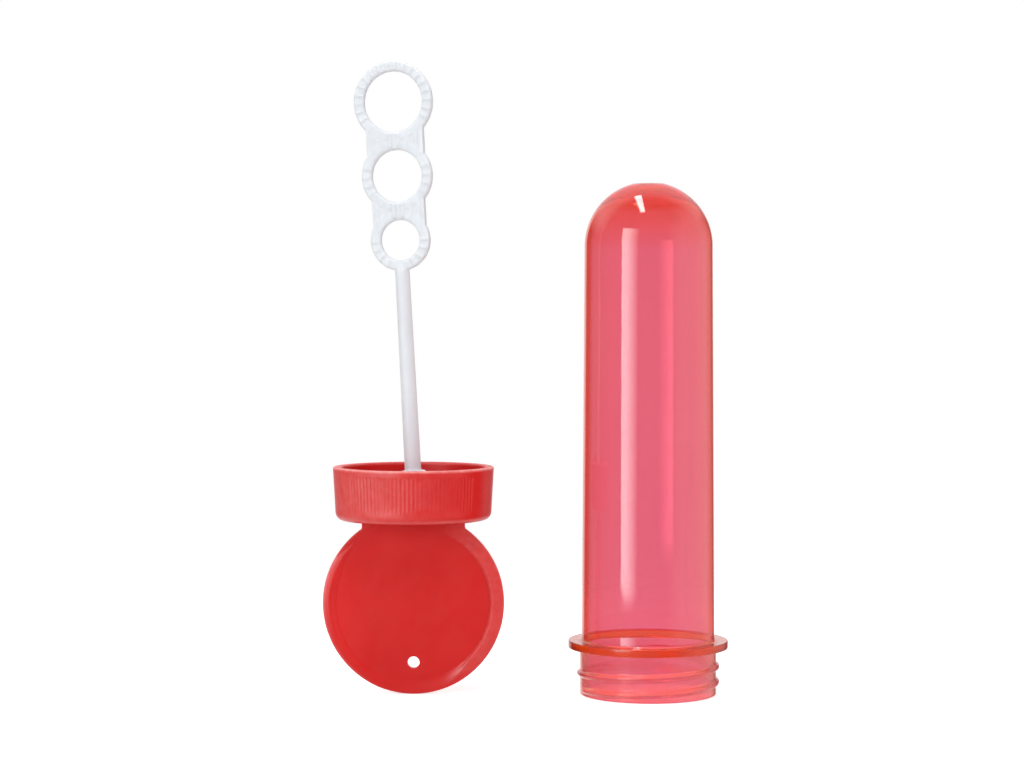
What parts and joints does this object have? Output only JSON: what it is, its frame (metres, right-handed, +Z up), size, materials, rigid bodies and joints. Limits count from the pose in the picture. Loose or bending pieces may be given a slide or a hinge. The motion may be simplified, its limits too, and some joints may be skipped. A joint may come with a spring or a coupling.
{
  "type": "bubble wand",
  "caption": "Bubble wand taken apart: screw cap with a round tag under it and a ringed wand in its socket, beside an empty test-tube bottle that stands on its threaded mouth.",
  "frame": {"origin": "on the floor, under the middle of the layout's box, between the cap's tag and the tube", "axes": "+X from the cap to the tube, +Y away from the viewer and square to the tag, +Z up along both axes"},
  "size_m": [0.0812, 0.0322, 0.1265],
  "materials": {
    "cap_plastic": "satin red polypropylene, slightly see-through where thin",
    "wand_plastic": "satin cool white polypropylene",
    "tube_plastic": "clear red tinted plastic, glossy and see-through"
  },
  "bodies": {
    "cap": {"cap": "cap_plastic"},
    "wand": {"wand": "wand_plastic"},
    "tube": {"tube": "tube_plastic"}
  },
  "joints": [
    {"name": "wand_turn", "type": "hinge", "parent": "cap", "child": "wand", "pos_m": [-0.02243, 0, 0.04305], "axis": [0, 0, 1], "continuous": true},
    {"name": "tube_lift", "type": "slide", "parent": "cap", "child": "tube", "axis": [0, 0, 1], "range_m": [0, 0.13]}
  ]
}
